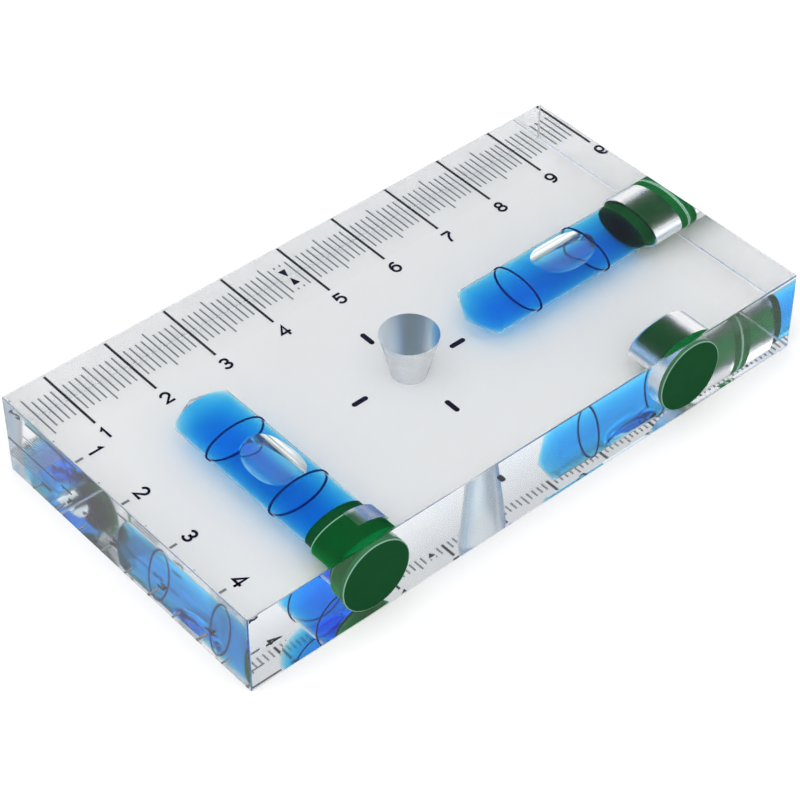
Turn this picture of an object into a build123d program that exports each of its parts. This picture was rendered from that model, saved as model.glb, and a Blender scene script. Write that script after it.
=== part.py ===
from build123d import *
import math
import os

# T level: a clear acrylic block with two bubble vials bored into it, magnets behind green caps,
# and a ruler filled into its underside. Millimetres. X runs along the block, Y across it, Z up,
# and the origin is the middle of the underside.

# Block
BLOCK_LENGTH = 95.0
BLOCK_WIDTH = 51.0
BLOCK_HEIGHT = 13.0
EDGE_BREAK = 0.2

# Tapered sighting hole through the middle
HOLE_TOP_D = 8.3
HOLE_BOTTOM_D = 5.0

# Two pockets open in the front face, each this far from its end of the block; the third is in the middle
# of the right end
POCKET_FROM_END = 20.0

# Magnet pocket and its cap
POCKET_D = 10.8
POCKET_DEPTH = 6.5
CAP_FLANGE = 1.5
STEM_CLEARANCE = 0.3
CAP_WALL = 1.1
CAP_BEVEL = 0.15

# Vial bore, measured from the face that it is drilled from
BORE_D = 9.2
BARREL_RISE = 0.08
SEAL_LENGTH = 1.7
VIAL_LENGTH = 26.6
DRILL_POINT_ANGLE = 118.0

# Index rings in the bore wall
RING_SPACING = 12.8
RING_WIDTH = 0.3
RING_DEPTH = 0.15

# Bubble under the top of the bore, with a film of liquid between it and the bore
BUBBLE_LENGTH = 10.0
BUBBLE_DEPTH = 1.6
WET_FILM = 0.05
CROSS_BUBBLE_SHIFT = -1.45
LONG_BUBBLE_SHIFT = -2.0

# Patch without cement beside the front left cap, as an angle about its axis
BARE_PATCH_FROM = 20.0
BARE_PATCH_TO = 88.0
BARE_PATCH_LENGTH = 2.9

# Marks filled into the underside; the rulers count from the block's left and back edges
MARK_DEPTH = 0.1
TICK_PITCH = 1.0
BACK_SCALE_START = 5.0
FINE_TICK_WIDTH = 0.2
CM_TICK_WIDTH = 0.35
MM_TICK = 2.9
HALF_TICK = 4.0
CM_TICK = 5.8
END_CM_TICK = 5.0
TICK_STUB = 0.35
ARROW_BASE = 1.1
ARROW_HEIGHT = 1.55
ARROW_GAP = 0.2
DASH_LENGTH = 2.6
DASH_WIDTH = 0.75
DASH_RADIUS = 8.65

# Sizes that follow from the ones above
VIAL_START = POCKET_DEPTH + SEAL_LENGTH
VIAL_MIDDLE = VIAL_START + VIAL_LENGTH / 2
VIAL_END = VIAL_START + VIAL_LENGTH
BORE_R = BORE_D / 2
DRILL_POINT = BORE_R / math.tan(math.radians(DRILL_POINT_ANGLE / 2))
BORE_HEIGHT = BLOCK_HEIGHT / 2
STEM_D = POCKET_D - 2 * STEM_CLEARANCE
STEM_LENGTH = POCKET_DEPTH - CAP_FLANGE
MAGNET_D = STEM_D - 2 * CAP_WALL
RING_OUTER_R = BORE_R + BARREL_RISE + RING_DEPTH
LEFT = -BLOCK_LENGTH / 2
RIGHT = BLOCK_LENGTH / 2
FRONT = -BLOCK_WIDTH / 2
BACK = BLOCK_WIDTH / 2

# Each pocket is drawn standing on its face: depth runs inward and local Y is up
FRONT_LEFT = Plane(origin=(LEFT + POCKET_FROM_END, FRONT, BORE_HEIGHT), x_dir=(-1, 0, 0), z_dir=(0, 1, 0))
FRONT_RIGHT = Plane(origin=(RIGHT - POCKET_FROM_END, FRONT, BORE_HEIGHT), x_dir=(-1, 0, 0), z_dir=(0, 1, 0))
RIGHT_END = Plane(origin=(RIGHT, 0, BORE_HEIGHT), x_dir=(0, -1, 0), z_dir=(-1, 0, 0))


def disc(diameter, start, length):
    """Cylinder about the local axis, from one depth to another."""
    return Pos(0, 0, start) * Cylinder(diameter / 2, length, align=(Align.CENTER, Align.CENTER, Align.MIN))


def vial_bore():
    """Barrelled bore: straight at the seal, swelling to its middle, with the drill's point at its end."""
    wall = Spline((BORE_R, VIAL_START), (BORE_R + BARREL_RISE, VIAL_MIDDLE), (BORE_R, VIAL_END))
    outline = [
        Line((0, VIAL_START), (BORE_R, VIAL_START)),
        wall,
        Line((BORE_R, VIAL_END), (0, VIAL_END + DRILL_POINT)),
        Line((0, VIAL_END + DRILL_POINT), (0, VIAL_START)),
    ]
    return revolve(Plane.XZ * make_face(outline), Axis.Z)


def bubble(shift):
    """Air at the top of the bore: level from side to side, with its floor dished up to meet both ends."""
    top = BORE_R + BARREL_RISE - WET_FILM
    dish_radius = ((BUBBLE_LENGTH / 2) ** 2 + BUBBLE_DEPTH**2) / (2 * BUBBLE_DEPTH)
    along = Cylinder(top, BORE_D + BUBBLE_LENGTH)
    across = Pos(0, top - BUBBLE_DEPTH + dish_radius, 0) * Rot(0, 90, 0) * Cylinder(dish_radius, 2 * BORE_D)
    return Pos(0, 0, VIAL_MIDDLE + shift) * (along & across)


def index_ring(bore, side):
    """Black ring let into the bore wall, its inner face flush with the barrel."""
    centre = VIAL_MIDDLE + side * RING_SPACING / 2
    return disc(2 * RING_OUTER_R, centre - RING_WIDTH / 2, RING_WIDTH) - bore


def seal_plug():
    return disc(BORE_D, POCKET_DEPTH, SEAL_LENGTH)


def magnet():
    """Disc magnet that fills the cap's stem."""
    return disc(MAGNET_D, CAP_FLANGE, STEM_LENGTH)


def cap():
    """Flange flush with the block's face and a hollow stem that holds the magnet."""
    flange = disc(POCKET_D, 0, CAP_FLANGE)
    flange = chamfer(flange.edges().group_by(Axis.Z)[0], CAP_BEVEL)
    stem = disc(STEM_D, CAP_FLANGE, STEM_LENGTH)
    return flange + stem - magnet()


def cement_sleeve():
    """Cement between stem and pocket wall, with one bare patch toward the top and the pocket's floor."""
    sleeve = disc(POCKET_D, CAP_FLANGE, STEM_LENGTH) - disc(STEM_D, CAP_FLANGE, STEM_LENGTH)
    reach = POCKET_D
    corners = [(0, 0)] + [
        (-reach * math.cos(math.radians(a)), reach * math.sin(math.radians(a)))
        for a in (BARE_PATCH_FROM, (BARE_PATCH_FROM + BARE_PATCH_TO) / 2, BARE_PATCH_TO)
    ]
    wedge = make_face(Polyline(*corners, close=True))
    return sleeve - Pos(0, 0, POCKET_DEPTH - BARE_PATCH_LENGTH) * extrude(wedge, BARE_PATCH_LENGTH)


def bar(x0, x1, y0, y1):
    """Rectangular mark in the underside."""
    return Pos((x0 + x1) / 2, (y0 + y1) / 2, 0) * Box(
        x1 - x0, y1 - y0, MARK_DEPTH, align=(Align.CENTER, Align.CENTER, Align.MIN)
    )


def back_scale():
    """Millimetre ticks run in from the back edge; the two beside the middle keep only their inner ends."""
    ticks = []
    middle = BLOCK_LENGTH / 2 / TICK_PITCH
    first = round(BACK_SCALE_START / TICK_PITCH)
    last = int((BLOCK_LENGTH - EDGE_BREAK - CM_TICK_WIDTH) / TICK_PITCH)
    for count in range(first, last + 1):
        if count % 10 == 0:
            width, length = CM_TICK_WIDTH, CM_TICK
        elif count % 5 == 0:
            width, length = FINE_TICK_WIDTH, HALF_TICK
        else:
            width, length = FINE_TICK_WIDTH, MM_TICK
        outer = MM_TICK - TICK_STUB if count in (math.floor(middle), math.ceil(middle)) else 0
        x = LEFT + count * TICK_PITCH
        ticks.append(bar(x - width / 2, x + width / 2, BACK - length, BACK - outer))
    return Compound(ticks)


def end_scale():
    """Ticks every 5 mm, run in from the left end and counted from the back edge."""
    ticks = []
    last = int((BLOCK_WIDTH - EDGE_BREAK - CM_TICK_WIDTH) / TICK_PITCH)
    for count in range(5, last + 1, 5):
        width, length = (CM_TICK_WIDTH, END_CM_TICK) if count % 10 == 0 else (FINE_TICK_WIDTH, HALF_TICK)
        y = BACK - count * TICK_PITCH
        ticks.append(bar(LEFT, LEFT + length, y - width / 2, y + width / 2))
    return Compound(ticks)


def middle_arrow():
    """Triangle that points out at the middle of the back edge."""
    tip = BACK - ARROW_GAP
    outline = Polyline(
        (0, tip), (-ARROW_BASE / 2, tip - ARROW_HEIGHT), (ARROW_BASE / 2, tip - ARROW_HEIGHT), close=True
    )
    return extrude(make_face(outline), MARK_DEPTH)


def centre_dashes():
    """Four round-ended dashes that aim at the hole."""
    dash = extrude(SlotOverall(DASH_LENGTH, DASH_WIDTH), MARK_DEPTH)
    return Compound([Rot(0, 0, quarter * 90) * (Pos(DASH_RADIUS, 0, 0) * dash) for quarter in range(4)])


def acrylic_block(bores, rings, marks):
    """Block with its edges broken, except the two ruler edges of the underside, which stay sharp."""
    block = Box(BLOCK_LENGTH, BLOCK_WIDTH, BLOCK_HEIGHT, align=(Align.CENTER, Align.CENTER, Align.MIN))
    top = block.edges().group_by(Axis.Z)[-1]
    upright = block.edges().filter_by(Axis.Z)
    low = block.edges().group_by(Axis.Z)[0]
    front_low = low.filter_by(Axis.X).sort_by(Axis.Y)[0]
    right_low = low.filter_by(Axis.Y).sort_by(Axis.X)[-1]
    block = chamfer([*top, *upright, front_low, right_low], EDGE_BREAK)
    block -= Cone(
        HOLE_BOTTOM_D / 2, HOLE_TOP_D / 2, BLOCK_HEIGHT, align=(Align.CENTER, Align.CENTER, Align.MIN)
    )
    for plane in (FRONT_LEFT, FRONT_RIGHT, RIGHT_END):
        block -= plane * disc(POCKET_D, 0, POCKET_DEPTH)
    for plane in (FRONT_LEFT, RIGHT_END):
        block -= plane * disc(BORE_D, POCKET_DEPTH, SEAL_LENGTH)
    return block - [*bores, *rings] - marks


def build():
    bore = vial_bore()
    near_ring, far_ring = index_ring(bore, -1), index_ring(bore, 1)
    scale_back, scale_end, arrow, dashes = back_scale(), end_scale(), middle_arrow(), centre_dashes()
    nodes = {}
    for name, plane, shift in (("cross", FRONT_LEFT, CROSS_BUBBLE_SHIFT), ("long", RIGHT_END, LONG_BUBBLE_SHIFT)):
        nodes[f"{name}_vial_liquid"] = plane * (bore - bubble(shift))
        nodes[f"{name}_vial_ring_outer"] = plane * near_ring
        nodes[f"{name}_vial_ring_inner"] = plane * far_ring
        nodes[f"{name}_vial_seal_plug"] = plane * seal_plug()
    for name, plane in (("front_left", FRONT_LEFT), ("front_right", FRONT_RIGHT), ("right_end", RIGHT_END)):
        nodes[f"{name}_magnet"] = plane * magnet()
        nodes[f"{name}_cap"] = plane * cap()
    nodes["front_left_cement"] = FRONT_LEFT * cement_sleeve()
    nodes["back_edge_scale"] = scale_back
    nodes["left_end_scale"] = scale_end
    nodes["middle_arrow"] = arrow
    nodes["centre_dashes"] = dashes
    bores = [plane * bore for plane in (FRONT_LEFT, RIGHT_END)]
    rings = [plane * ring for plane in (FRONT_LEFT, RIGHT_END) for ring in (near_ring, far_ring)]
    marks = [*scale_back, *scale_end, arrow, *dashes]
    nodes["acrylic_block"] = acrylic_block(bores, rings, marks)
    return nodes


os.makedirs("parts", exist_ok=True)
for node, shape in build().items():
    export_step(shape, f"parts/{node}.step")
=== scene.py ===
import math

import bmesh
import bpy
from mathutils import Matrix, Vector


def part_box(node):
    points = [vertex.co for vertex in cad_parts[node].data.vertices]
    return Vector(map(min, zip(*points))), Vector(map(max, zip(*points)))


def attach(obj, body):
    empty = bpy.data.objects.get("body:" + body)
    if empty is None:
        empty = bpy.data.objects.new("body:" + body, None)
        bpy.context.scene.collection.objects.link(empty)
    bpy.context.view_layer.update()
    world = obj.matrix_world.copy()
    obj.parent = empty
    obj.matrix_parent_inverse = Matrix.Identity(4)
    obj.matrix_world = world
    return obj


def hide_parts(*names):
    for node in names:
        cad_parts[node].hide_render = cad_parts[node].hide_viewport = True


# Magnetic T level: a clear acrylic block with two blue vials set in a T, green caps over hidden magnets,
# and a ruler filled into the underside. Shapes are drawn in millimetres in the part's own frame, with the
# middle of the underside as its origin, and a piece becomes metres when it is made.

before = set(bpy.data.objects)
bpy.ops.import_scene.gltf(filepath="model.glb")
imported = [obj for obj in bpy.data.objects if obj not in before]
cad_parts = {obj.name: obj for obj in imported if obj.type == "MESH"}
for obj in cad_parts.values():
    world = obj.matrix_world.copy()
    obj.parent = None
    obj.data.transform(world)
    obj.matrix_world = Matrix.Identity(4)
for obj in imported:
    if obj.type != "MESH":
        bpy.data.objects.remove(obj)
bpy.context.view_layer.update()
MM = 0.001


def node_box(node):
    """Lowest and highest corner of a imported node, in millimetres."""
    low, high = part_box(node)
    return low / MM, high / MM


# Block
BLOCK_LOW, BLOCK_HIGH = node_box("acrylic_block")
LEFT, FRONT, _ = BLOCK_LOW
RIGHT, BACK, TOP = BLOCK_HIGH
EDGE_ROUND = 0.2
EDGE_STEPS = 3
HOLE_TOP_R = 8.3 / 2
HOLE_BOTTOM_R = 5.0 / 2

# Pockets, caps and vials, by depth from the face that they are bored from
CAP_LOW, CAP_HIGH = node_box("front_left_cap")
PLUG_LOW, PLUG_HIGH = node_box("cross_vial_seal_plug")
LIQUID_LOW, LIQUID_HIGH = node_box("cross_vial_liquid")
POCKET_R = (CAP_HIGH.x - CAP_LOW.x) / 2
POCKET_DEPTH = CAP_HIGH.y - CAP_LOW.y
FLANGE = 1.5
CAP_BEVEL = 0.15
STEM_GAP = 0.3
STEM_R = POCKET_R - STEM_GAP
BORE_R = (PLUG_HIGH.x - PLUG_LOW.x) / 2
BARREL_RISE = (LIQUID_HIGH.x - LIQUID_LOW.x) / 2 - BORE_R
VIAL_START = LIQUID_LOW.y - FRONT
VIAL_TIP = LIQUID_HIGH.y - FRONT
DRILL_POINT_ANGLE = 118.0
VIAL_END = VIAL_TIP - BORE_R / math.tan(math.radians(DRILL_POINT_ANGLE / 2))
VIAL_MIDDLE = (VIAL_START + VIAL_END) / 2

# Patch without cement beside the front left cap: degrees round the stem, length along it,
# and how far its cutter reaches into the stem's own space
BARE_PATCH_FROM = 20.0
BARE_PATCH_TO = 88.0
BARE_PATCH_LENGTH = 2.9
BARE_PATCH_INSIDE = 0.2

# Bubbles. Squareness 2 is an ellipse from above, and roundness 2 an elliptical rim. The meniscus is the
# share of the liquid's level that the bubble covers across the vial, and the shift is along the vial
# from its middle, with minus toward the cap.
BUBBLE_LENGTH = 10.0
BUBBLE_DEPTH = 2.1
BUBBLE_SQUARENESS = 2.3
BUBBLE_ROUNDNESS = 2.2
BUBBLE_MENISCUS = 0.87
WET_FILM = 0.05
CROSS_BUBBLE_SHIFT = -1.45
LONG_BUBBLE_SHIFT = -2.0

# How far one surface stands clear of another that it touches, so that light meets the right one first
OPTICAL_LAP = 0.01
UNDERSIDE_LAP = 0.004
BUBBLE_LAP = 0.003
FLOOR_LAP = 0.02

# Ruler numbers, filled into the underside as the ticks are
NUMBER_DEPTH = 0.1
NUMBER_STROKE = 0.36
NUMBER_SIZE = 1.15
NUMBER_FROM_BACK = 8.1
NUMBER_FROM_LEFT = 7.1
CENTIMETRE = 10

# Light bends by these: acrylic and liquid against air
ACRYLIC_IOR = 1.49
LIQUID_IOR = 1.46

# How finely the round shapes are drawn
TURN_STEPS = 128
BARREL_STEPS = 24
PATCH_STEPS = 18
BUBBLE_STEPS = 96
BUBBLE_RINGS = 40

# How far a cutter reaches past the face that it opens, and how near counts as being in the same place
CUT_PAST = 1
NEAR = 1e-3
VERY_NEAR = 1e-4
SAME = 1e-6


# Places: each pocket's local Z runs inward from the face and its local Y is up


def port(cap, inward):
    """Place of a pocket's mouth, found from the cap that fills it."""
    low, high = node_box(cap)
    middle = (low + high) / 2
    depth = Vector(inward)
    up = Vector((0, 0, 1))
    side = up.cross(depth)
    place = Matrix((side, up, depth)).transposed().to_4x4()
    place.translation = middle - depth * POCKET_DEPTH / 2
    return place


FRONT_LEFT = port("front_left_cap", (0, 1, 0))
FRONT_RIGHT = port("front_right_cap", (0, 1, 0))
RIGHT_END = port("right_end_cap", (-1, 0, 0))


# Meshes


def new_piece(name, bm, materials, smooth_below=12.0):
    """Object from a bmesh in millimetres, smooth where neighbouring faces meet at less than an angle."""
    bm.normal_update()
    mesh = bpy.data.meshes.new(name)
    bm.to_mesh(mesh)
    bm.free()
    mesh.transform(Matrix.Scale(MM, 4))
    for face in mesh.polygons:
        face.use_smooth = True
    mesh.set_sharp_from_angle(angle=math.radians(smooth_below))
    piece = bpy.data.objects.new(name, mesh)
    bpy.context.scene.collection.objects.link(piece)
    for material in materials:
        mesh.materials.append(material)
    return piece


def join(bm, near, far):
    """Band of faces between two rings of corners, either of which may be a single point."""
    steps = max(len(near), len(far))
    for i in range(steps):
        j = (i + 1) % steps
        corners = [near[i % len(near)], near[j % len(near)], far[j % len(far)], far[i % len(far)]]
        bm.faces.new(list(dict.fromkeys(corners)))


def turned(profile, place=Matrix()):
    """Closed solid turned about local Z from (depth, radius) pairs; radius 0 is a point on the axis."""
    bm = bmesh.new()
    angles = [2 * math.pi * i / TURN_STEPS for i in range(TURN_STEPS)]
    rings = []
    for depth, radius in profile:
        if radius == 0:
            rings.append([bm.verts.new((0, 0, depth))])
        else:
            ring = [(radius * math.cos(a), radius * math.sin(a), depth) for a in angles]
            rings.append([bm.verts.new(corner) for corner in ring])
    for near, far in zip(rings, rings[1:]):
        join(bm, near, far)
    for ring in (rings[0], rings[-1]):
        if len(ring) > 1:
            bm.faces.new(ring)
    bmesh.ops.recalc_face_normals(bm, faces=bm.faces)
    bm.transform(place)
    return bm


def barrel(grow=0.0):
    """(depth, radius) pairs of the barrelled bore wall and the drill's point."""
    pairs = []
    for i in range(BARREL_STEPS + 1):
        t = i / BARREL_STEPS
        depth = VIAL_START + (VIAL_END - VIAL_START) * t
        off_middle = (depth - VIAL_MIDDLE) / (VIAL_END - VIAL_MIDDLE)
        pairs.append((depth, BORE_R + BARREL_RISE * (1 - off_middle**2) + grow))
    return pairs + [(VIAL_TIP + grow, 0)]


def scratch_object(bm):
    """Object that only a cut needs."""
    mesh = bpy.data.meshes.new("cutter")
    bm.to_mesh(mesh)
    bm.free()
    cutter = bpy.data.objects.new("cutter", mesh)
    bpy.context.scene.collection.objects.link(cutter)
    return cutter


def cut(body, cutters):
    """bmesh of a body less its cutters."""
    target = scratch_object(body)
    tools = [scratch_object(c) for c in cutters]
    for tool in tools:
        step = target.modifiers.new("cut", "BOOLEAN")
        step.operation = "DIFFERENCE"
        step.solver = "EXACT"
        step.object = tool
    graph = bpy.context.evaluated_depsgraph_get()
    result = bmesh.new()
    result.from_object(target, graph)
    for scratch in (target, *tools):
        bpy.data.objects.remove(scratch)
    return result


# Acrylic block


def block_body():
    """Block with rounded edges; the two low edges that the ticks start from stay sharp."""
    bm = bmesh.new()
    low = Vector((LEFT, FRONT, UNDERSIDE_LAP))
    high = Vector((RIGHT, BACK, TOP))
    bmesh.ops.create_cube(bm, size=1)
    size = high - low
    bm.transform(Matrix.Translation((low + high) / 2) @ Matrix.Diagonal((*size, 1)))
    rounded = []
    for edge in bm.edges:
        middle = (edge.verts[0].co + edge.verts[1].co) / 2
        low_edge = abs(middle.z - low.z) < SAME
        ruler_edge = abs(middle.y - BACK) < SAME or abs(middle.x - LEFT) < SAME
        if not (low_edge and ruler_edge):
            rounded.append(edge)
    bmesh.ops.bevel(bm, geom=rounded, offset=EDGE_ROUND, segments=EDGE_STEPS, profile=0.5, affect="EDGES")
    return bm


def sighting_hole():
    """Cutter for the tapered hole through the block's centre."""
    taper = (HOLE_TOP_R - HOLE_BOTTOM_R) / TOP
    return turned([
        (-CUT_PAST, HOLE_BOTTOM_R - taper * CUT_PAST),
        (TOP + CUT_PAST, HOLE_TOP_R + taper * CUT_PAST),
    ])


def pocket(place, stem_r, vial):
    """Cutter for one pocket, with its vial bore where it has one."""
    lap = OPTICAL_LAP
    end = POCKET_DEPTH - lap
    mouth = POCKET_R - CAP_BEVEL - lap
    profile = [
        (-CUT_PAST, mouth),
        (0, mouth),
        (CAP_BEVEL, POCKET_R - lap),
        (FLANGE, POCKET_R - lap),
        (FLANGE, stem_r),
        (end, stem_r),
    ]
    if vial:
        profile += [(end, BORE_R - lap), (VIAL_START, BORE_R - lap)] + barrel()
    return turned(profile, place)


def bare_patch():
    """Air beside the front left cap where its cement is missing."""
    bm = bmesh.new()
    inner, outer = STEM_R - BARE_PATCH_INSIDE, POCKET_R
    start, end = POCKET_DEPTH - BARE_PATCH_LENGTH, POCKET_DEPTH
    section = (inner, start), (outer, start), (outer, end), (inner, end)
    rows = []
    for i in range(PATCH_STEPS + 1):
        a = math.radians(180 - BARE_PATCH_FROM - (BARE_PATCH_TO - BARE_PATCH_FROM) * i / PATCH_STEPS)
        c, s = math.cos(a), math.sin(a)
        rows.append([bm.verts.new((r * c, r * s, d)) for r, d in section])
    for near, far in zip(rows, rows[1:]):
        join(bm, near, far)
    bm.faces.new(rows[0])
    bm.faces.new(rows[-1])
    bmesh.ops.recalc_face_normals(bm, faces=bm.faces)
    bm.transform(FRONT_LEFT)
    return bm


# The block's finishes, in the order of its materials; the milled, front and sawn ones also carry painted
# shade in their tints
POLISHED, WET, MILLED_BLUE_SHADED, BORED, FRONT_FACE_SHADED, SAWN_SHADED, ROUNDED = range(7)


def finish_at(spot, normal):
    """Which of the block's finishes a face has, by where it is and how it lies."""
    for place, vial in ((FRONT_LEFT, True), (RIGHT_END, True), (FRONT_RIGHT, False)):
        local = place.inverted() @ spot
        off_axis = local.xy.length
        in_vial = VIAL_START + VERY_NEAR < local.z < VIAL_TIP + VERY_NEAR
        if vial and in_vial and off_axis < BORE_R + BARREL_RISE + NEAR:
            return WET
        if VERY_NEAR < local.z < VIAL_START and off_axis < POCKET_R + NEAR:
            return BORED
    if spot.xy.length < HOLE_TOP_R + 0.1 and abs(normal.z) < 0.5:
        return MILLED_BLUE_SHADED
    if max(abs(c) for c in normal) < 0.999:
        return ROUNDED
    if abs(spot.x - LEFT) < NEAR:
        return SAWN_SHADED
    if abs(spot.y - FRONT) < NEAR:
        return FRONT_FACE_SHADED
    return POLISHED


def acrylic_block(materials):
    """Block with its hole, pockets and vial bores; only the front left cap's stem is cemented in."""
    bm = cut(block_body(), [
        sighting_hole(),
        pocket(FRONT_LEFT, STEM_R - OPTICAL_LAP, True),
        pocket(FRONT_RIGHT, POCKET_R, False),
        pocket(RIGHT_END, POCKET_R, True),
        bare_patch(),
    ])
    bm.normal_update()
    for face in bm.faces:
        face.material_index = finish_at(face.calc_center_median(), face.normal)
    return new_piece("clear_block", bm, materials)


# Liquid and bubbles


def bubble_surface(shift, grow=0.0):
    """Closed bubble: a level underside, a roof that follows the bore, and a rounded rim between the two."""
    top = BORE_R + BARREL_RISE - WET_FILM
    level = top - BUBBLE_DEPTH
    half_length = BUBBLE_LENGTH / 2
    half_width = BUBBLE_MENISCUS * math.sqrt(top**2 - level**2)
    power = 2 / BUBBLE_SQUARENESS
    bm = bmesh.new()

    def height(x, rim, side):
        roof = math.sqrt(top**2 - x * x)
        thick = (roof - level) * math.sqrt(1 - rim**BUBBLE_ROUNDNESS) / 2
        return roof - thick + side * (thick + grow)

    def sheet(side):
        rings = [[bm.verts.new((0, height(0, 0, side), VIAL_MIDDLE + shift))]]
        for k in range(1, BUBBLE_RINGS + 1):
            rim = math.sin(math.pi / 2 * k / BUBBLE_RINGS)
            ring = []
            for i in range(BUBBLE_STEPS):
                a = 2 * math.pi * i / BUBBLE_STEPS
                c, s = math.cos(a), math.sin(a)
                x = half_width * rim * math.copysign(abs(c) ** power, c)
                z = half_length * rim * math.copysign(abs(s) ** power, s)
                ring.append(bm.verts.new((x, height(x, rim, side), VIAL_MIDDLE + shift + z)))
            rings.append(ring)
        return rings

    roof, underside = sheet(1), sheet(-1)
    for near, far in [*zip(roof, roof[1:]), *zip(underside, underside[1:]), (roof[-1], underside[-1])]:
        join(bm, near, far)
    bmesh.ops.remove_doubles(bm, verts=bm.verts, dist=1e-5)
    bmesh.ops.recalc_face_normals(bm, faces=bm.faces)
    return bm


def liquid(name, place, shift, material):
    """Filling of one vial bore, hollow where its bubble is."""
    lap = OPTICAL_LAP / 2
    bm = turned([(VIAL_START, BORE_R + lap)] + barrel(lap))
    cavity = bubble_surface(shift, BUBBLE_LAP)
    bmesh.ops.reverse_faces(cavity, faces=cavity.faces)
    hollow = bpy.data.meshes.new("hollow")
    cavity.to_mesh(hollow)
    cavity.free()
    bm.from_mesh(hollow)
    bm.transform(place)
    return new_piece(name, bm, [material], smooth_below=25.0)


def bubble(name, place, shift, material):
    """Skin of one bubble."""
    bm = bubble_surface(shift)
    bm.transform(place)
    return new_piece(name, bm, [material], smooth_below=60.0)


# Numbers


def arc(x, y, rx, ry, start, end, steps=10):
    """Points of an elliptical arc, by angles in degrees from the right, counted anticlockwise."""
    angles = (math.radians(start + (end - start) * i / steps) for i in range(steps + 1))
    return [(x + rx * math.cos(a), y + ry * math.sin(a)) for a in angles]


# Centrelines of the strokes of each number, in a cell 1.4 mm wide and 2 mm high about its middle
HALF_W, HALF_H = 0.52, 0.82
STROKES = {
    "1": [[(-0.32, 0.42), (0.06, 0.82), (0.06, -1.0)]],
    "2": [arc(0, 0.32, HALF_W, 0.5, 175, -35) + [(-0.5, -HALF_H), (0.62, -HALF_H)]],
    "3": [arc(-0.02, 0.4, 0.46, 0.42, 160, -90) + arc(-0.02, -0.4, 0.52, 0.42, 90, -165)],
    "4": [[(0.68, -0.4), (-0.6, -0.4), (0.28, 0.85), (0.28, -1.0)]],
    "5": [[(0.52, HALF_H), (-0.38, HALF_H), (-0.46, 0.08)] + arc(0, -0.28, HALF_W, 0.54, 130, -160)],
    "6": [arc(0, -0.28, HALF_W, 0.54, 140, -220, 18), arc(0.12, -0.02, 0.64, 0.84, 190, 60)],
    "7": [[(-0.55, HALF_H), (0.5, HALF_H)] + arc(1.0, -1.0, 1.2, 1.6, 112, 180, 8)],
    "8": [arc(0, 0.42, 0.42, 0.4, 90, 450, 18), arc(0, -0.4, HALF_W, 0.44, 90, 450, 18)],
    "9": [arc(0, 0.28, HALF_W, 0.54, 320, -40, 18), arc(-0.12, 0.02, 0.64, 0.84, 10, -120)],
}


def ribbon(bm, points, place):
    """Flat stroke with mitred corners, as deep as the marks."""
    half = NUMBER_STROKE / NUMBER_SIZE / 2
    points = [Vector((*p, 0)) for p in points]
    closed = (points[0] - points[-1]).length < SAME
    if closed:
        points = points[:-1]
    section = (1, 0), (-1, 0), (-1, NUMBER_DEPTH), (1, NUMBER_DEPTH)
    rows = []
    for i, p in enumerate(points):
        before = points[i - 1] if i or closed else None
        after = points[(i + 1) % len(points)] if i + 1 < len(points) or closed else None
        a = (p - before).normalized() if before is not None else (after - p).normalized()
        b = (after - p).normalized() if after is not None else a
        along = (a + b).normalized()
        across = Vector((-along.y, along.x, 0)) * half / max(along.dot(a), 0.5)
        corners = [place @ (p + across * side + Vector((0, 0, z))) for side, z in section]
        rows.append([bm.verts.new(corner) for corner in corners])
    for near, far in list(zip(rows, rows[1:])) + ([(rows[-1], rows[0])] if closed else []):
        join(bm, near, far)
    if not closed:
        bm.faces.new(rows[0])
        bm.faces.new(rows[-1])


def numbers(name, marks, turn, material):
    """Numbers centred on their places, each turned so that its top points the same way."""
    bm = bmesh.new()
    for text, x, y in marks:
        place = Matrix.Translation((x, y, 0)) @ Matrix.Rotation(math.radians(turn), 4, "Z")
        place = place @ Matrix.Diagonal((NUMBER_SIZE, NUMBER_SIZE, 1, 1))
        for stroke in STROKES[text]:
            ribbon(bm, stroke, place)
    bmesh.ops.recalc_face_normals(bm, faces=bm.faces)
    return new_piece(name, bm, [material], smooth_below=30.0)


# Materials


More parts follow.
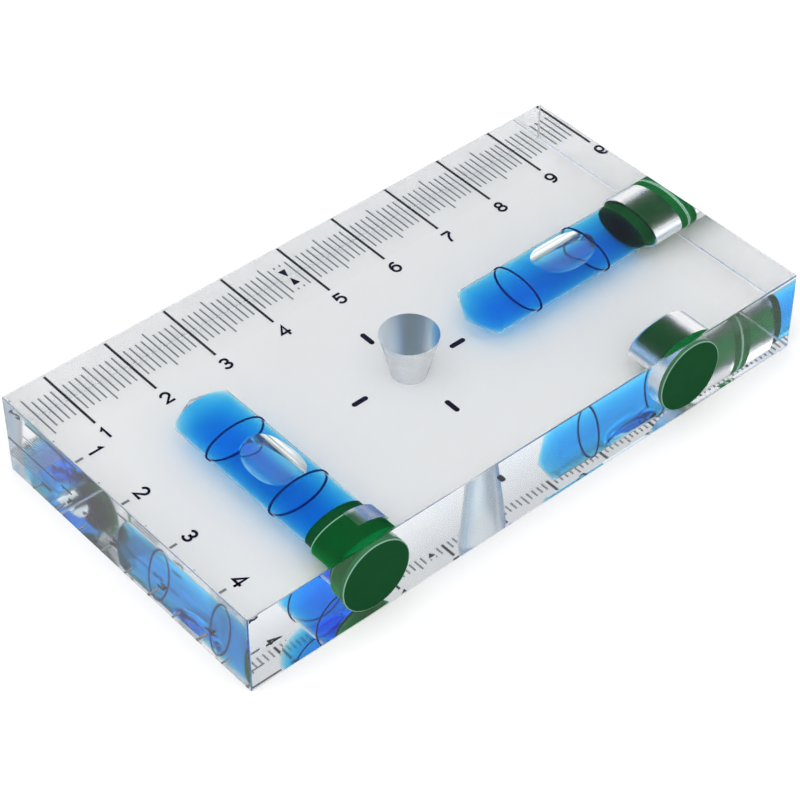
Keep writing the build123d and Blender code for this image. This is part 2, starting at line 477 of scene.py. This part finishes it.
class Shader:
    """Writes one material's nodes; node() makes any node from its settings and its sockets' values."""

    def __init__(self, name, world=None):
        self.owner = world or bpy.data.materials.new(name)
        self.owner.use_nodes = True
        self.tree = self.owner.node_tree
        self.tree.nodes.clear()

    def node(self, kind, settings=None, out=0, **sockets):
        """Sockets go by name, with _ for a space, or by number after a _."""
        made = self.tree.nodes.new(kind)
        for key, value in (settings or {}).items():
            setattr(made, key, value)
        for key, value in sockets.items():
            self.feed(made.inputs[int(key[1:]) if key[0] == "_" else key.replace("_", " ")], value)
        return Socket(self, made.outputs[out]) if made.outputs else made

    def feed(self, target, value):
        """Links a socket, or sets it."""
        if isinstance(value, Socket):
            self.tree.links.new(value.socket, target)
        elif target.type == "RGBA":
            target.default_value = (*value, 1)
        else:
            target.default_value = value

    def position(self):
        """Position in the part's frame, in millimetres."""
        spot = self.node("ShaderNodeTexCoord", out="Object")
        return self.node("ShaderNodeVectorMath", {"operation": "SCALE"}, _0=spot, Scale=1 / MM)

    def coordinate(self, axis, where):
        return self.node("ShaderNodeSeparateXYZ", out=axis, _0=where)

    def noise(self, where, size, detail=3.0):
        """Noise from 0 to 1 whose patches are about size millimetres."""
        values = {"Vector": where, "Scale": 1 / size, "Detail": detail, "Roughness": 0.5}
        return self.node("ShaderNodeTexNoise", out="Fac", **values)

    def mix(self, share, first, second):
        settings = {"data_type": "RGBA", "clamp_factor": True}
        return self.node("ShaderNodeMix", settings, out=2, _0=share, _6=first, _7=second)

    def fade(self, value, start, end):
        """0 before start and 1 past end, eased between."""
        settings = {"interpolation_type": "SMOOTHSTEP"}
        return self.node("ShaderNodeMapRange", settings, _0=value, _1=start, _2=end)

    def vector(self, operation, first, second=(0, 0, 0), out=0):
        return self.node("ShaderNodeVectorMath", {"operation": operation}, out=out, _0=first, _1=second)

    def from_port(self, place):
        """Depth from a pocket's face and distance from its axis, in millimetres."""
        off = self.vector("SUBTRACT", self.position(), tuple(place.translation))
        inward = tuple(place.to_3x3().col[2])
        depth = self.vector("DOT_PRODUCT", off, inward, out="Value")
        return depth, self.vector("LENGTH", self.vector("CROSS_PRODUCT", off, inward), out="Value")

    def bump(self, height, deep):
        """Normal for a height from 0 to 1 that is deep millimetres at 1."""
        return self.node("ShaderNodeBump", Height=height, Distance=deep * MM, Strength=1.0)

    def principled(self, **sockets):
        return self.node("ShaderNodeBsdfPrincipled", **sockets)

    def surface(self, shader, **volume):
        """The finished material."""
        self.node("ShaderNodeOutputMaterial", Surface=shader, **volume)
        return self.owner


class Socket:
    """Value in a material that ordinary arithmetic works on."""

    def __init__(self, shader, socket):
        self.shader, self.socket = shader, socket

    def maths(self, operation, first, second):
        return self.shader.node("ShaderNodeMath", {"operation": operation}, _0=first, _1=second)

    def __add__(self, other):
        return self.maths("ADD", self, other)

    def __sub__(self, other):
        return self.maths("SUBTRACT", self, other)

    def __rsub__(self, other):
        return self.maths("SUBTRACT", other, self)

    def __mul__(self, other):
        return self.maths("MULTIPLY", self, other)

    __radd__ = __add__
    __rmul__ = __mul__


# Colours. A pair is the two ends of an uneven colour.
WHITE = (1.0, 1.0, 1.0)
BLACK = (0.0, 0.0, 0.0)
# Pale mint: painted highlights on the caps' edges and painted light from the floor
MINT_PAINTED_LIGHT = (0.4, 0.74, 0.54)
FACE_GREENS = (0.002, 0.052, 0.013), (0.003, 0.066, 0.018)
# The flange greens, and the cemented cap's stem greens, are brighter copies of the moulded green: painted
# light
WET_FLANGE_LIT_GREENS = (0.0, 0.2, 0.04), (0.0, 0.24, 0.052)
WET_STEM_LIT_GREENS = (0.0, 0.1, 0.018), (0.0, 0.125, 0.026)
DRY_FLANGE_LIT_GREENS = (0.0, 0.165, 0.03), (0.0, 0.2, 0.042)
DRY_STEM_GREENS = (0.0, 0.055, 0.012), (0.0, 0.075, 0.018)
# Pale green low on the stems: painted light from the floor
FLOOR_LIT_STEM_GREEN = (0.0, 0.34, 0.075)
PLUG_GREENS = (0.0, 0.085, 0.02), (0.0, 0.105, 0.028)
# Near black in the middle of the plugs' wet ends: painted shade
WET_END_SHADED_GREENS = (0.0, 0.008, 0.006), (0.0, 0.1, 0.025)
RING_INKS = (0.004, 0.03, 0.2), (0.007, 0.04, 0.24)
NUMBER_INKS = (0.006, 0.005, 0.025), (0.012, 0.01, 0.04)
FINE_TICK_INKS = (0.24, 0.26, 0.3), (0.32, 0.34, 0.38)
TENTH_TICK_INKS = (0.028, 0.03, 0.04), (0.05, 0.053, 0.065)
FLOOR_WHITES = (0.9, 0.9, 0.9), (0.92, 0.92, 0.92)
NICKEL_GREY = (0.72, 0.71, 0.68)
CEMENT_TINT = (0.93, 1.0, 0.96)

# What the dye lets through, and how much of it there is to a metre
DYE_BLUE = (0.0, 0.795, 1.0)
DYE_DENSITY = 460.0

# Moulded plastic: its grain and mottling, how wide a change of colour is on each side of an edge,
# and the heights between which it is painted paler toward the floor, as painted light from the floor below
GRAIN_SIZE = 0.25
GRAIN_DEPTH = 0.004
MOTTLE_SIZE = 3.0
SOFT = 0.02
STEM_FLOOR_LIGHT_HEIGHTS = 9.5, 4.5
FLANGE_FLOOR_LIGHT_HEIGHTS = 3.5, 0.8


def acrylic(name, smooth, rough, patch, tint=(0.99, 0.995, 1.0)):
    """Clear acrylic whose finish runs from smooth to rough in patches of about patch millimetres; a tint
    darker than clear is painted shade on the face.

    The black specular tint takes off glare, as a polarising filter does, and leaves total reflection whole.
    """
    s = Shader(name)
    haze = s.noise(s.position(), patch)
    return s.surface(s.principled(
        Base_Color=tint,
        Roughness=smooth + (rough - smooth) * haze,
        IOR=ACRYLIC_IOR,
        Transmission_Weight=1.0,
        Specular_Tint=BLACK,
    ))


def wet_bore():
    """Bore wall where acrylic meets liquid, which bend light nearly alike."""
    s = Shader("wet_bore")
    drill_marks = s.noise(s.position(), 2.0)
    return s.surface(s.principled(
        Base_Color=WHITE,
        Roughness=0.25 + 0.15 * drill_marks,
        IOR=ACRYLIC_IOR / LIQUID_IOR,
        Transmission_Weight=1.0,
    ))


def blue_liquid():
    """Dyed liquid, which takes more out of light the further it goes."""
    s = Shader("blue_liquid")
    through = s.node("ShaderNodeBsdfTransparent", Color=WHITE)
    dye = s.node("ShaderNodeVolumeAbsorption", Color=DYE_BLUE, Density=DYE_DENSITY)
    return s.surface(through, Volume=dye)


def bubble_skin():
    """Liquid's surface seen from the liquid, with air behind it."""
    s = Shader("bubble_skin")
    return s.surface(s.node("ShaderNodeBsdfGlass", Color=WHITE, Roughness=0.0, IOR=1 / LIQUID_IOR))


def moulded(s, where, colour):
    """Matt moulded plastic with a fine grain."""
    grain = s.noise(where, GRAIN_SIZE, 2.0)
    return s.surface(s.principled(
        Base_Color=colour,
        Roughness=0.4 + 0.1 * grain,
        Normal=s.bump(grain, GRAIN_DEPTH),
        Specular_IOR_Level=0.02,
    ))


def cap_green(name, place, lit_flange_greens, stem_greens, inner_highlight_shows):
    """Moulded green: a dark face, a side brightened with painted light that is painted paler low down as
    light from the floor, and painted highlights on the edges.
    """
    s = Shader(name)
    where = s.position()
    height = s.coordinate("Z", where)
    depth, off_axis = s.from_port(place)
    mottle = s.noise(where, MOTTLE_SIZE)
    # The stem is painted paler toward the floor: painted light from below
    stem = s.mix(s.fade(height, *STEM_FLOOR_LIGHT_HEIGHTS), s.mix(mottle, *stem_greens), FLOOR_LIT_STEM_GREEN)
    # Side: painted light on the flange, and on the cemented cap's stem
    side = s.mix(s.fade(depth, FLANGE - SOFT, FLANGE + SOFT), s.mix(mottle, *lit_flange_greens), stem)
    # Painted mint light from the floor, low on the flange
    floor_light_on_flange = s.fade(height, *FLANGE_FLOOR_LIGHT_HEIGHTS) * s.fade(depth, FLANGE + 0.1, FLANGE - 0.1) * 0.5
    body = s.mix(s.fade(depth, 0.01, 0.03), s.mix(mottle, *FACE_GREENS), s.mix(floor_light_on_flange, side, MINT_PAINTED_LIGHT))
    # Painted highlights: a mint line round the front bevel, and round the stem's inner end on the cemented
    # cap
    inside_bevel = POCKET_R - CAP_BEVEL
    front_edge_highlight = s.fade(off_axis, inside_bevel - SOFT, inside_bevel + SOFT) * s.fade(depth, 0.3, 0.2)
    inner_edge_highlight = s.fade(depth, POCKET_DEPTH - 0.2, POCKET_DEPTH - 0.1) * inner_highlight_shows
    return moulded(s, where, s.mix(front_edge_highlight + inner_edge_highlight, body, MINT_PAINTED_LIGHT))


def plug_green(name, place):
    """Moulded green, with painted shade darkening the middle of the plug's wet end."""
    s = Shader(name)
    where = s.position()
    depth, off_axis = s.from_port(place)
    side = s.mix(s.noise(where, MOTTLE_SIZE), *PLUG_GREENS)
    # Painted shade: near black in the middle of the wet end, fading out toward its rim
    shaded_wet_end = s.mix(s.fade(off_axis, 1.5, 4.5), *WET_END_SHADED_GREENS)
    return moulded(s, where, s.mix(s.fade(depth, VIAL_START - 0.05, VIAL_START - 0.01), side, shaded_wet_end))


def filling(s, colour, roughness):
    """Matt filling of a mark or a groove."""
    return s.surface(s.principled(Base_Color=colour, Roughness=roughness, Specular_IOR_Level=0.0))


def black_filling():
    """Filling of the index rings, which the blue liquid makes black."""
    s = Shader("black_filling")
    grain = s.noise(s.position(), 0.2)
    return filling(s, s.mix(grain, *RING_INKS), 0.7 + 0.2 * grain)


def number_ink():
    """Filled mark, a little uneven."""
    s = Shader("number_ink")
    grain = s.noise(s.position(), 0.3)
    return filling(s, s.mix(grain, *NUMBER_INKS), 0.75 + 0.2 * grain)


def tick_ink():
    """Thin filling of the scales: pale in the fine lines, darker in every tenth."""
    s = Shader("tick_ink")
    where = s.position()
    along = s.coordinate("X", where) - LEFT
    from_tenth = s.node("ShaderNodeMath", {"operation": "PINGPONG"}, _0=along, _1=CENTIMETRE / 2)
    grain = s.noise(where, 0.3)
    fine, tenth = s.mix(grain, *FINE_TICK_INKS), s.mix(grain, *TENTH_TICK_INKS)
    return filling(s, s.mix(s.fade(from_tenth, 0.3, 0.35), tenth, fine), 0.75 + 0.2 * grain)


def nickel():
    """Plating of the magnets."""
    s = Shader("nickel")
    brushed = s.noise(s.position(), 0.4)
    return s.surface(s.principled(Base_Color=NICKEL_GREY, Metallic=1.0, Roughness=0.2 + 0.15 * brushed))


def cement():
    """Clear cement, in optical contact on both sides, with a faint tint."""
    s = Shader("cement")
    return s.surface(s.node("ShaderNodeBsdfTransparent", Color=CEMENT_TINT))


def dress(node, material):
    """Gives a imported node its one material."""
    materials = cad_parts[node].data.materials
    materials.clear()
    materials.append(material)


# Pieces

clear = acrylic_block([
    acrylic("polished_acrylic", 0.0, 0.02, 6.0),
    wet_bore(),
    # Blue-grey tint on the hole wall: painted shade and a painted blue reflection of the vials; its roughness
    # is the milled finish
    acrylic("milled_acrylic_painted_blue", 0.46, 0.6, 1.5, (0.82, 0.94, 1.0)),
    acrylic("bored_acrylic", 0.27, 0.37, 1.5),
    # Grey tint on the front face: painted shade
    acrylic("front_acrylic_painted_shade", 0.02, 0.06, 4.0, (0.78, 0.82, 0.86)),
    # Grey tint on the sawn left end: painted shade; its roughness is the sawn finish
    acrylic("sawn_acrylic_painted_shade", 0.03, 0.08, 3.0, (0.84, 0.87, 0.91)),
    acrylic("rounded_acrylic", 0.25, 0.35, 1.0),
])
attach(clear, "root")
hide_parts("acrylic_block")

dyed = blue_liquid()
skin = bubble_skin()
ring_black = black_filling()
for vial, place, shift in (("cross", FRONT_LEFT, CROSS_BUBBLE_SHIFT), ("long", RIGHT_END, LONG_BUBBLE_SHIFT)):
    blue = liquid(f"{vial}_vial_blue", place, shift, dyed)
    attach(blue, "root")
    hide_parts(f"{vial}_vial_liquid")
    air = bubble(f"{vial}_vial_bubble", place, shift, skin)
    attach(air, "root")
    dress(f"{vial}_vial_seal_plug", plug_green(f"{vial}_plug_green", place))
    dress(f"{vial}_vial_ring_outer", ring_black)
    dress(f"{vial}_vial_ring_inner", ring_black)

deep_ink = number_ink()
back_marks = [(str(i), LEFT + CENTIMETRE * i, BACK - NUMBER_FROM_BACK) for i in range(1, 10)]
left_marks = [(str(i), LEFT + NUMBER_FROM_LEFT, BACK - CENTIMETRE * i) for i in range(1, 5)]
for name, marks, turn in (("back_numbers", back_marks, 0), ("left_numbers", left_marks, -90)):
    piece = numbers(name, marks, turn, deep_ink)
    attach(piece, "root")
dress("middle_arrow", deep_ink)
dress("centre_dashes", deep_ink)

scale_ink = tick_ink()
dress("back_edge_scale", scale_ink)
dress("left_end_scale", scale_ink)

metal = nickel()
# The cemented (wet) cap and the dry caps differ in how much painted light their sides get
wet_lit_greens = WET_FLANGE_LIT_GREENS, WET_STEM_LIT_GREENS
dry_greens_lit_flange = DRY_FLANGE_LIT_GREENS, DRY_STEM_GREENS
# The last column turns on the painted highlight round the stem's inner end
for cap, place, greens, inner_edge_highlight in (
    ("front_left", FRONT_LEFT, wet_lit_greens, 1.0),
    ("front_right", FRONT_RIGHT, dry_greens_lit_flange, 0.0),
    ("right_end", RIGHT_END, dry_greens_lit_flange, 0.0),
):
    dress(f"{cap}_cap", cap_green(f"{cap}_green", place, *greens, inner_edge_highlight))
    dress(f"{cap}_magnet", metal)
dress("front_left_cement", cement())


# Floor, light and camera

FLOOR_SIZE = 3000
SKY_STRENGTH = 0.72
KEY_SPOT = (-0.3, -0.2, 0.9)
KEY_SIZE = 1.2
KEY_POWER = 8.8


def floor():
    """White sheet just under the block."""
    s = Shader("pale_floor")
    grain = s.noise(s.position(), 40.0)
    paper = s.principled(Base_Color=s.mix(grain, *FLOOR_WHITES), Roughness=0.9, Specular_IOR_Level=0.0)
    bm = bmesh.new()
    bmesh.ops.create_grid(bm, x_segments=1, y_segments=1, size=FLOOR_SIZE)
    bm.transform(Matrix.Translation((0, 0, -FLOOR_LAP)))
    ground = new_piece("floor", bm, [s.surface(paper)])


def daylight():
    """Even white light from all round."""
    world = bpy.data.worlds.new("studio")
    bpy.context.scene.world = world
    s = Shader("studio", world)
    sky = s.node("ShaderNodeBackground", Color=WHITE, Strength=SKY_STRENGTH)
    s.node("ShaderNodeOutputWorld", Surface=sky)


def softbox(name, spot, size, power):
    """Square lamp that points at the block."""
    data = bpy.data.lights.new(name, "AREA")
    data.shape = "SQUARE"
    data.size = size
    data.energy = power
    lamp = bpy.data.objects.new(name, data)
    bpy.context.scene.collection.objects.link(lamp)
    lamp.location = spot
    lamp.rotation_euler = (-Vector(spot)).to_track_quat("-Z", "Y").to_euler()


# Camera, fitted to the block's corners, ticks and numbers in the photograph
EYE = Vector((-165.19, -190.27, 239.66))
AZIMUTH, ELEVATION, ROLL = -40.679, 43.441, -0.277
FOCAL_PIXELS, FRAME_PIXELS, SENSOR = 2565.0, 800, 36.0


def camera():
    """Camera from its eye, its three angles in degrees and its focal length in pixels."""
    a, e = math.radians(AZIMUTH), math.radians(ELEVATION)
    back = Vector((math.sin(a) * math.cos(e), -math.cos(a) * math.cos(e), math.sin(e)))
    level = Vector((math.cos(a), math.sin(a), 0))
    right = (Matrix.Rotation(math.radians(ROLL), 3, back) @ level).normalized()
    up = back.cross(right)
    data = bpy.data.cameras.new("camera")
    data.sensor_width = SENSOR
    data.lens = FOCAL_PIXELS / FRAME_PIXELS * SENSOR
    data.clip_start, data.clip_end = 0.01, 20
    eye = bpy.data.objects.new("camera", data)
    place = Matrix((right, up, back)).transposed().to_4x4()
    place.translation = EYE * MM
    eye.matrix_world = place
    bpy.context.scene.collection.objects.link(eye)
    bpy.context.scene.camera = eye


floor()
daylight()
softbox("key", KEY_SPOT, KEY_SIZE, KEY_POWER)
camera()

view = bpy.context.scene.view_settings
view.view_transform = "Standard"
light_paths = bpy.context.scene.cycles
light_paths.max_bounces = 32
light_paths.transmission_bounces = 32
light_paths.glossy_bounces = 16
light_paths.transparent_max_bounces = 32
